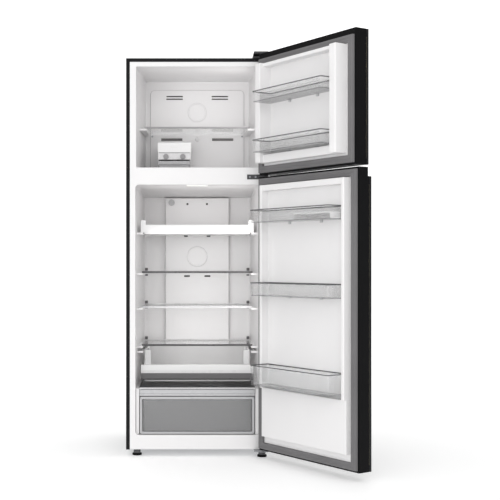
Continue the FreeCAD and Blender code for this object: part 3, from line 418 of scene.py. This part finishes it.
def extruded(section, low_x, high_x):
    """A cross-section of (y, z, radius) points in mm, run from low_x to high_x in mm."""
    points = eased([section[-1], *section, section[0]], 3)[1:-1]
    work = bmesh.new()
    ends = [[work.verts.new(CABINET @ Vector((x * MM, y, z))) for y, z in points]
            for x in (low_x, high_x)]
    count = len(points)
    for i in range(count):
        j = (i + 1) % count
        work.faces.new((ends[0][i], ends[0][j], ends[1][j], ends[1][i]))
    for end in ends:
        work.faces.new(end)
    bmesh.ops.recalc_face_normals(work, faces=work.faces)
    return work


def turned(profile, centre, axis, matrix):
    """A shape turned about an axis through centre: profile of (along, radius) in metres."""
    steps = TURNED_STEPS
    along = Vector(axis)
    side = Vector((0, 0, 1)) if abs(along.z) < 0.5 else Vector((1, 0, 0))
    other = along.cross(side)
    work = bmesh.new()
    rings = []
    for distance, radius in profile:
        circle = []
        for step in range(steps):
            turn = 2 * math.pi * step / steps
            spoke = side * math.cos(turn) + other * math.sin(turn)
            circle.append(work.verts.new(matrix @ (centre + along * distance + spoke * radius)))
        rings.append(circle)
    for first, second in zip(rings, rings[1:]):
        for i in range(steps):
            j = (i + 1) % steps
            work.faces.new((first[i], first[j], second[j], second[i]))
    work.faces.new(rings[0])
    work.faces.new(rings[-1])
    bmesh.ops.recalc_face_normals(work, faces=work.faces)
    return work


def strip(inner, outer, back, front, outer_front=None):
    """A four-sided section of (inset, height) in metres, from values in mm."""
    if outer_front is None:
        outer_front = front
    corners = ((inner, back), (inner, front), (outer, outer_front), (outer, back))
    return [(inset * MM, height * MM) for inset, height in corners]


def band(name, rect, corner, section, body, material, depth, steps=6):
    """A closed band of one section round a rectangle, on a surface that faces the front."""
    work = moulding(rect, corner, section, facing(CABINET, depth, -1), steps, closed=True)
    return finish_piece(name, work, body, material)


def ring(name, centre, radius, section, material, depth):
    """A round band of the cabinet, facing the front."""
    rect = (centre[0] - radius, centre[0] + radius, centre[1] - radius, centre[1] + radius)
    return band(name, rect, radius, section, "cabinet", material, depth, 16)


def small_block(low, high, matrix, round_off):
    """A little moulded block with rounded edges."""
    work = bmesh.new()
    bmesh.ops.create_cube(work, size=1.0)
    for vert in work.verts:
        share = vert.co + Vector((0.5, 0.5, 0.5))
        spot = Vector([low[i] + (high[i] - low[i]) * share[i] for i in range(3)])
        vert.co = matrix @ spot
    bmesh.ops.bevel(work, geom=work.edges[:], offset=round_off * MM, segments=3, profile=0.5,
                    affect="EDGES", clamp_overlap=True)
    return work


def block(name, low, high, material, round_off=0.8, body="cabinet", matrix=CABINET):
    """A moulded block given by two corners in mm of the cabinet or door frame."""
    work = small_block(Vector(low) * MM, Vector(high) * MM, matrix, round_off)
    return finish_piece(name, work, body, material)


def in_mm(node):
    """A node's box in mm of the cabinet frame."""
    low, high = local_box(node)
    return low / MM, high / MM


def both_sides(inner, outer):
    """The same span left and right of a middle line."""
    return (("left", (-outer, -inner)), ("right", (inner, outer)))


# ---------------------------------------------------------------- cabinet

# Radii of the rounded edges, in mm.
FINE = 0.3
SHEET = 0.4
PLATE = 0.5
SMALL = 0.6
MOULDED = 0.8
PANEL = 1.0
BROAD = 1.2
DOOR_LINER = 1.5
ROOM_LINER = 2.2

FOOT_THREAD = (9.5, 21)
SEAM_CORNER = 20

# Air openings of a cover, in mm: inner end, outer end, bottom, top and look, the painted shade that
# fills the opening. The ends are measured from the cover's middle, and the heights from its foot.
FREEZER_OPENINGS = ((66, 141, 324, 348, VENT_SHADE), (68, 165, 137, 153, OUTLET_SHADE), (40, 150, -3, 11, VENT_SHADE))
FRIDGE_OPENINGS = ((38, 52, 785, 799, VENT_SHADE), (41, 63, 639, 651, VENT_SHADE), (31, 63, 455, 467, VENT_SHADE))

BADGE_HEIGHT = 269
BADGE_RADII = (43.2, 37.0)
SENSOR_HEIGHT = 146
DEODORISER_RADII = (46.6, 38.8)
LENS_DEPTH = 9

# Nodes that are shown with their CAD shape.
INNER_PARTS = {
    "evaporator": ALUMINIUM, "defrost_heater": ALUMINIUM, "condenser_coil": COPPER,
    "compressor": PUMP, "compressor_grommets": RUBBER, "drain_pan": BLACK, "cabinet_foam": FOAM,
    "freezer_door_foam": FOAM, "fridge_door_foam": FOAM}


def refined_all(rows):
    for node, edge, material in rows:
        refined(node, edge, material)


def is_thread(face):
    return FOOT_THREAD[0] * MM < face.center.z < FOOT_THREAD[1] * MM


def cabinet():
    for side in ("left", "right"):
        refined(f"side_panel_{side}", SHEET, STEEL_PAINT)
        refined(f"rear_roller_{side}", PLATE, RUBBER)
        refined(f"front_foot_{side}", MOULDED, [BLACK, DARK_ZINC], sort=is_thread)
    refined_all((
        ("top_panel", SHEET, STEEL_PAINT), ("back_panel", FINE, SPANGLE),
        ("base_plate", SHEET, SPANGLE), ("machine_room_wall", SHEET, SPANGLE)))
    refined("machine_room_cover", SHEET, BLACK, segments=1)
    refined("divider_cover", SMALL, WHITE)
    refined("freezer_liner", ROOM_LINER, WHITE, segments=3)
    refined("fridge_liner", ROOM_LINER, WHITE, segments=3)
    refined_all((
        ("hinge_cover", PANEL, CHARCOAL), ("top_hinge", PLATE, ZINC), ("bottom_hinge", SMALL, ZINC),
        ("middle_hinge", SMALL, DARK_ZINC), ("screws", FINE, ZINC), ("cord_gland", SMALL, BLACK)))


def seam(name, node, width):
    """The narrow shadow line where a cover meets the wall behind it."""
    low, high = local_box(node)
    rect = (low.x, high.x, low.z, high.z)
    band(name, rect, SEAM_CORNER * MM, strip(-width, 0.3, 0, 0.9), "cabinet", SEAM, high.y)


def grilles(name, cover, openings, depths, margin):
    """Blocks of painted shade behind a cover's openings, on both sides of its middle."""
    low, high = in_mm(cover)
    middle = (low.x + high.x) / 2
    near, far = depths
    for row, (inner, outer, bottom, top, look) in enumerate(openings):
        for side, (left, right) in both_sides(inner - margin, outer + margin):
            block(f"{name}_{side}_{row}", (middle + left, near, low.z + bottom),
                  (middle + right, far, low.z + top), look, 0.3)


def vents():
    """Grilles of the evaporator cover, on its wall, and of the air duct cover, inside it."""
    wall = in_mm("evaporator_cover")[1].y
    grilles("vent", "evaporator_cover", FREEZER_OPENINGS, (wall - 2.5, wall + 6), 2)
    front = in_mm("air_duct_cover")[0].y
    grilles("duct_vent", "air_duct_cover", FRIDGE_OPENINGS, (front + 3.1, front + 6), 0)


def evaporator_cover():
    """The freezer's rear cover, with two plain rings for a badge and a sensor cap."""
    refined("evaporator_cover", BROAD, WHITE)
    seam("evaporator_cover_seam", "evaporator_cover", 1.6)
    low, high = local_box("evaporator_cover")
    middle = (low.x + high.x) / 2
    badge = (middle, low.z + BADGE_HEIGHT * MM)
    for number, radius in enumerate(BADGE_RADII):
        ring(f"evaporator_badge_ring_{number}", badge, radius * MM, strip(0, 1.2, -2.2, 0.7),
             LIGHT, low.y)
    profile = [(0, 9.5), (2.5, 9.5), (5, 8), (6, 4)]
    centre = Vector((middle, low.y + 2 * MM, low.z + SENSOR_HEIGHT * MM))
    cap = turned([(along * MM, radius * MM) for along, radius in profile], centre, (0, -1, 0),
                 CABINET)
    finish_piece("sensor_cap", cap, "cabinet", LIGHT)


def air_duct_cover():
    """The fridge's rear cover with its round deodoriser."""
    refined("air_duct_cover", PANEL, WHITE)
    seam("duct_seam", "air_duct_cover", 1.2)
    refined("deodoriser_cap", SMALL, WHITE)
    low, high = local_box("deodoriser_cap")
    centre = ((low.x + high.x) / 2, (low.z + high.z) / 2)
    for number, radius in enumerate(DEODORISER_RADII):
        ring(f"deodoriser_ring_{number}", centre, radius * MM, strip(0, 1.0, 0, 2.2), SEAM, high.y)


def cold_air():
    evaporator_cover()
    air_duct_cover()
    lens_end = (CABINET @ local_box("light_cover")[0]).y + LENS_DEPTH * MM
    refined("light_cover", MOULDED, [WHITE, LENS], sort=lambda face: face.center.y < lens_end)
    refined_all((
        ("temperature_dial", SMALL, PALE), ("fan_blade", FINE, BLACK), ("fan_motor", SMALL, BLACK)))
    vents()
    for node, material in INNER_PARTS.items():
        for slot in nodes[node].material_slots:
            slot.material = material


# ---------------------------------------------------------------- fittings

SHELF_CLIPS = {"upper": (8, 21), "lower": (-15, -8.5)}


def trim_levels():
    """Heights of the shelf trims in mm, lowest first; the freezer's is the last."""
    return sorted({round(corners[0].z / MM) for corners in islands("shelf_trims")})


def shelves():
    refined("glass_shelves", PLATE, GLASS)
    refined("freezer_shelf", PLATE, GLASS)
    levels = trim_levels()
    front_looks = [TRIM_DARK, PALE, TRIM_DARK, SEAM]
    looks = [*front_looks, LIGHT]
    low, high = local_box("glass_shelves")
    middle_y = (CABINET @ ((low + high) / 2)).y

    def by_place(face):
        if face.center.y > middle_y:
            return len(front_looks)
        return sum(1 for level in levels[1:] if face.center.z > (level - 2) * MM)

    refined("shelf_trims", MOULDED, looks, sort=by_place)
    high = in_mm("glass_shelves")[1]
    for level in levels[:3]:
        for side, (left, right) in both_sides(high.x - 12, high.x + 1):
            for part, (bottom, top) in SHELF_CLIPS.items():
                block(f"clip_{part}_{level}_{side}", (left, high.y - 9, level + bottom),
                      (right, high.y + 2, level + top), SILVER, 1.5)


def ice_maker():
    """A glossy face and a small crest above a lighter band, with a painted shadow line under the face,
    and the parts that hang below.
    """
    low, high = in_mm("ice_maker_housing")
    middle = (low.x + high.x) / 2
    face_low = high.z - 44
    crest = 15
    refined("ice_maker_housing", BROAD, [GLOSS_WHITE, LIGHT],
            sort=lambda face: face.center.z < face_low * MM)
    block("ice_maker_crest", (middle - crest, low.y - 4.2, high.z - 22),
          (middle + crest, low.y + 1, high.z - 15), GLOSS_WHITE, 0.9)
    block("ice_maker_face", (low.x, low.y - 3, face_low), (high.x, low.y + 1, high.z - 1.5),
          GLOSS_WHITE, 2.5)
    # A grey line under the face: painted shadow of its lower edge.
    block("ice_maker_painted_shadow", (low.x + 4, low.y - 0.8, face_low - 2.5),
          (high.x - 4, low.y + 1, face_low + 1), SEAM, 0.5)
    refined_all((
        ("ice_tray_left", SHEET, SEAM), ("ice_tray_right", SHEET, SEAM),
        ("ice_bin", SMALL, ICE_CLEAR)))


def drawers():
    ice_maker()
    refined("chiller_tray", MOULDED, GLOSS_WHITE)
    rim_low = local_box("upper_drawer")[1].z - 2 * MM
    refined("upper_drawer", MOULDED, [FAINT, RIM], sort=lambda face: face.center.z > rim_low)
    upper_front()
    refined("crisper_drawer", MOULDED, SMOKE)
    crisper_front()
    crisper_surround()
    refined("crisper_cover", MOULDED, SHADED_COVER)
    low, high = in_mm("crisper_cover")
    # A light grey strip along the cover's front: a painted highlight on its edge.
    block("crisper_cover_painted_highlight", (low.x + 0.5, low.y - 1, low.z - 0.2),
          (high.x - 0.5, low.y + 4, high.z + 0.8), LIGHT, 1.2)


def upper_front():
    """The drawer's white band, its lower strip light grey with painted shade, above its grey, rounded
    handle.
    """
    low, high = in_mm("upper_drawer_front")
    join = low.z + 29
    # The band's strip from the join up 13 mm is light grey: painted shade above the handle.
    painted_shade_top = join + 13
    front = [(low.y + 1, join + 0.5, 0), (low.y + 0.4, painted_shade_top, 0.5),
             (low.y - 0.5, high.z - 1, 1.5), (high.y - 1, high.z, 1.5), (high.y, join + 0.5, 0)]
    finish_piece("upper_drawer_band", extruded(front, low.x, high.x), "upper_drawer",
                 [GLOSS_WHITE, LIGHT], ("upper_drawer_front",),
                 sort=lambda face: face.center.z < painted_shade_top * MM)
    grip = [(low.y + 0.5, join, 0.6), (low.y - 1.5, join - 6, 4), (low.y - 3, low.z + 6, 5),
            (low.y + 1, low.z, 2), (low.y + 4.5, low.z + 1.5, 1), (high.y - 1, low.z + 16, 3),
            (high.y, join, 0)]
    made = finish_piece("upper_drawer_handle", extruded(grip, low.x, high.x), "upper_drawer", SILVER)


def crisper_surround():
    """White fillers beside the crisper and the shadow line above it, fixed to the liner."""
    low, high = in_mm("crisper_front")
    cover_low = in_mm("crisper_cover")[0]
    middle = (low.x + high.x) / 2
    half = (high.x - low.x) / 2
    for side, (left, right) in both_sides(half + 1.5, half + 15.4):
        block(f"crisper_filler_{side}", (middle + left, low.y + 3, low.z + 1),
              (middle + right, low.y + 15, high.z + 2), WHITE, 1.0)
    block("crisper_cover_shadow", (low.x + 3, cover_low.y + 1, high.z + 0.6),
          (high.x - 3, cover_low.y + 4, cover_low.z + 0.2), TRIM_DARK, 0.3)


CRISPER_RAIL = 29
CRISPER_BORDER = 10


def crisper_rail(low, high, rail_low):
    """The grooved handle rail along the top of the crisper, above a shadow line."""
    rail = [(low.y + 1, rail_low, 0.8), (low.y - 0.5, rail_low + 2, 1), (low.y - 0.5, rail_low + 8, 0.8),
            (low.y + 1.2, rail_low + 9, 0.6), (low.y + 1.2, rail_low + 10, 0.6),
            (low.y - 1.5, rail_low + 11, 0.8), (low.y - 2.5, high.z - 7, 4), (low.y + 1, high.z, 2),
            (high.y, high.z, 0), (high.y, rail_low, 0)]
    finish_piece("crisper_handle", extruded(rail, low.x, high.x), "crisper", PALE,
                 ("crisper_front",))
    block("crisper_rail_shadow", (low.x + 2, low.y + 0.4, rail_low - 3),
          (high.x - 2, high.y - 1, rail_low + 0.4), TRIM_DARK, 0.3, "crisper")


def crisper_front():
    """The rail, and below it a pane in a frame with stepped edges, outlined by a dark band of painted
    shadow.
    """
    low, high = in_mm("crisper_front")
    rail_low = high.z - CRISPER_RAIL
    back = high.y * MM
    crisper_rail(low, high, rail_low)
    block("crisper_pane", (low.x + CRISPER_BORDER, high.y - 3.4, low.z + CRISPER_BORDER),
          (high.x - CRISPER_BORDER, high.y - 0.4, rail_low), PANE, 0.4, "crisper")
    frame_section = eased([(0, 0, 0), (0, 4, 1.5), (2.5, 6.8, 1.2), (8.5, 6.8, 1.2), (12, 3, 1),
                           (12, 0, 0)])
    # The outline's dark band is a painted shadow of the gap round the drawer's front.
    for name, top, corner, section, material in (
            ("frame", rail_low - 2.4, 10, frame_section, PALE),
            ("outline", high.z, 8, strip(-0.2, 1.5, 1, 5.8, 6.8), TRIM_DARK),
            ("window_edge", rail_low, 20, strip(11, 12.8, 2, 4.6), SILVER)):
        rect = (low.x * MM, high.x * MM, low.z * MM, top * MM)
        band(f"crisper_{name}", rect, corner * MM, section, "crisper", material, back)


# ---------------------------------------------------------------- doors

SEAL_WIDTH = 28.0
SEAL_CORNER = 2.4
BIN_CORNER = 8


def seal_section(tall):
    """A gasket's section in mm: a foot, a bellows fold and a flat magnet strip with a groove."""
    return eased([
        (0, 0, 0), (0, 4, 0.8), (2.2, 5.2, 0.8), (2.2, 6.8, 0.8), (0.4, 8.4, 1.0),
        (1.6, tall, 1.6), (9.5, tall, 1.0), (10.5, tall - 1.6, 0.8), (17.0, tall - 1.6, 0.8),
        (18.0, tall, 1.0), (26.6, tall, 1.4), (SEAL_WIDTH, tall - 2.4, 1.0), (SEAL_WIDTH, 0, 0)], 3)


def door(name):
    matrix = DOORS[name]
    refined(f"{name}_panel", SHEET, FACE_STEEL)
    refined(f"{name}_frame", SHEET, BLACK)
    refined(f"{name}_liner", DOOR_LINER, WHITE, segments=3)
    low, high = local_box(f"{name}_gasket", matrix)
    rect = (low.x, high.x, low.z, high.z)
    work = moulding(rect, SEAL_CORNER * MM, seal_section((high.y - low.y) / MM),
                    facing(matrix, low.y, 1), 4, closed=True)
    finish_piece(f"{name}_seal", work, name, SEAL, (f"{name}_gasket",))
    for number, (bin_low, bin_high) in enumerate(islands(f"{name}_bins", matrix), start=1):
        door_bin(f"{name}_bin_{number}", name, bin_low, bin_high, number == 1)


def bin_profile(bottom, top):
    """Drafted walls from a flat floor up to a lip, and back down inside, in mm."""
    return eased([
        (14, bottom, 0), (3.5, bottom, 4), (0.6, top - 5, 0.6), (0, top - 4, 0.6), (0, top, 1.2),
        (3.0, top, 1.2), (3.2, top - 5, 0.6), (6.2, bottom + 3, 4), (16, bottom + 3, 0)])


def door_bin(name, body, low, high, first):
    """A clear bin with drafted walls, a tinted rim and a thick floor, on two hooks."""
    matrix = DOORS[body]
    rect = (low.x, high.x, low.y, high.y)
    bottom = low.z / MM
    top = high.z / MM
    work = moulding(rect, BIN_CORNER * MM, bin_profile(bottom, top), upright(matrix))
    rim_z = (top - 3.6) * MM
    base_z = (bottom + 2.6) * MM
    made = finish_piece(name, work, body, [CLEAR, RIM], (f"{body}_bins",) if first else (),
                        sort=lambda face: 0 if base_z < face.center.z < rim_z else 1)
    hook = 6
    for number, share in enumerate((0.3, 0.7)):
        u = (low.x + (high.x - low.x) * share) / MM
        block(f"{name}_hook_{number}", (u - hook, low.y / MM + 1, bottom - 7),
              (u + hook, low.y / MM + 5, bottom + 2), PALE, 1.0, body, matrix)


def doors():
    door("freezer_door")
    door("fridge_door")
    refined("egg_tray", SMALL, MILKY)


# ---------------------------------------------------------------- camera, light and floor

CAMERA_DISTANCE = 4.35
CAMERA_HEIGHT = 0.816
FOCAL_LENGTH = 74.3
SENSOR_WIDTH = 36.0
CAMERA_SHIFT = (0.1056, 0.0248)

SKY_STRENGTH = 0.62
WARM_WHITE = (1.0, 0.97, 0.96)

# Studio lamps: name, place and aim in metres from the foot of the cabinet's front, size and watts.
STUDIO_LAMPS = (
    ("key", (0.7, -4.2, 2.3), (0, 0, 0.9), (2.6, 2.2), 40),
    ("fill", (-1.2, -3.6, 0.9), (0, 0, 0.8), (2.2, 1.6), 37),
    ("top", (0, -0.2, 4.2), (0, 0, 0), (3.0, 3.0), 20),
    ("backdrop", (0, 3.2, 4.6), (0, 7.4, 1.6), (9.0, 2.0), 190))

FLOOR_REACH = 14.0
FLOOR_BACK = 5.0
FLOOR_BEND = 3.0
FLOOR_RISE = 9.0
FLOOR_GLOW = 0.26


def camera():
    lens = bpy.data.cameras.new("camera")
    lens.lens = FOCAL_LENGTH
    lens.sensor_width = SENSOR_WIDTH
    lens.shift_x, lens.shift_y = CAMERA_SHIFT
    eye = bpy.data.objects.new("camera", lens)
    scene.collection.objects.link(eye)
    eye.location = (FRONT.x, FRONT.y - CAMERA_DISTANCE, CAMERA_HEIGHT)
    eye.rotation_euler = (math.radians(90), 0, 0)
    scene.camera = eye


def lamp(name, where, aim, size, power, colour=(1, 1, 1)):
    """A soft rectangular lamp, its place and aim measured from the cabinet's front."""
    light = bpy.data.lights.new(name, "AREA")
    light.shape = "RECTANGLE"
    light.size, light.size_y = size
    light.energy = power
    light.color = colour
    made = bpy.data.objects.new(name, light)
    scene.collection.objects.link(made)
    made.location = FRONT + Vector(where)
    direction = Vector(aim) - Vector(where)
    made.rotation_euler = direction.to_track_quat("-Z", "Y").to_euler()
    made.visible_camera = False
    made.visible_glossy = name == "top"


def ceiling_strips():
    """Strips under each ceiling, tray, shelf and rim: name, height in mm, depth and watts."""
    lower_shelf, upper_shelf = trim_levels()[1:3]
    return (
        ("freezer_lamp", in_mm("freezer_liner")[1].z - 33, 0.06, 0.035),
        ("fridge_lamp", in_mm("fridge_liner")[1].z - 28, 0.06, 0.15),
        ("shelf_lamp_a", in_mm("chiller_tray")[0].z - 13, 0.06, 0.08),
        ("shelf_lamp_b", upper_shelf - 18, 0.06, 0.10),
        ("shelf_lamp_c", lower_shelf - 16, 0.06, 0.10),
        ("drawer_lamp", in_mm("upper_drawer")[1].z - 8, 0.115, 0.3),
        ("crisper_lamp", in_mm("crisper_front")[1].z - 10, 0.06, 0.09))


def wall_strips():
    """Upright strips that face the left wall of each room: name, bottom, top and watts."""
    shelf_top = in_mm("freezer_shelf")[1].z
    freezer_top = in_mm("freezer_liner")[1].z
    fridge_top = in_mm("fridge_liner")[1].z
    return (("freezer_side", shelf_top + 18, freezer_top - 131, 0.30),
            ("fridge_side", trim_levels()[0] + 4, fridge_top - 66, 0.42))


def room_lamps():
    """Weak lamps inside the rooms, in place of the light that white walls pass on."""
    for name, height, depth, power in ceiling_strips():
        z = height * MM
        lamp(name, (0, depth, z), (0, 0.42, z - 0.16), (0.4, 0.03), power, WARM_WHITE)
    for name, bottom, top, power in wall_strips():
        middle = (bottom + top) / 2 * MM
        lamp(name, (0.24, 0.03, middle), (-0.25, 0.16, middle), (0.02, (top - bottom) * MM), power,
             WARM_WHITE)


def sky():
    world = bpy.data.worlds.new("studio")
    scene.world = world
    world.use_nodes = True
    background = world.node_tree.nodes["Background"]
    background.inputs["Color"].default_value = (1.0, 1.0, 1.0, 1.0)
    background.inputs["Strength"].default_value = SKY_STRENGTH


def floor_path():
    """The floor's side view as (depth, height): flat, then a quarter circle, then upright."""
    path = [(-FLOOR_REACH, 0.0), (FLOOR_BACK, 0.0)]
    for degrees in range(6, 91, 6):
        turn = math.radians(degrees)
        path.append((FLOOR_BACK + FLOOR_BEND * math.sin(turn), FLOOR_BEND - FLOOR_BEND * math.cos(turn)))
    path.append((FLOOR_BACK + FLOOR_BEND, FLOOR_RISE))
    return path


def floor():
    """A plain pale floor that curves up into a backdrop."""
    work = bmesh.new()
    rows = [[work.verts.new((FRONT.x + side * FLOOR_REACH, FRONT.y + depth, height))
             for side in (-1, 1)] for depth, height in floor_path()]
    for first, second in zip(rows, rows[1:]):
        work.faces.new((first[0], first[1], second[1], second[0]))
    mesh = bpy.data.meshes.new("floor")
    work.to_mesh(mesh)
    work.free()
    made = bpy.data.objects.new("floor", mesh)
    scene.collection.objects.link(made)
    for polygon in mesh.polygons:
        polygon.use_smooth = True
    glow = {"Emission Color": (1.0, 1.0, 1.0, 1.0), "Emission Strength": FLOOR_GLOW}
    mesh.materials.append(plastic("pale_floor", (0.9, 0.9, 0.9), 0.6, tint=0.005, **glow))


def studio():
    sky()
    for name, where, aim, size, power in STUDIO_LAMPS:
        lamp(name, where, aim, size, power)
    room_lamps()
    scene.view_settings.view_transform = "Standard"
    floor()


camera()
studio()
cabinet()
cold_air()
shelves()
drawers()
doors()
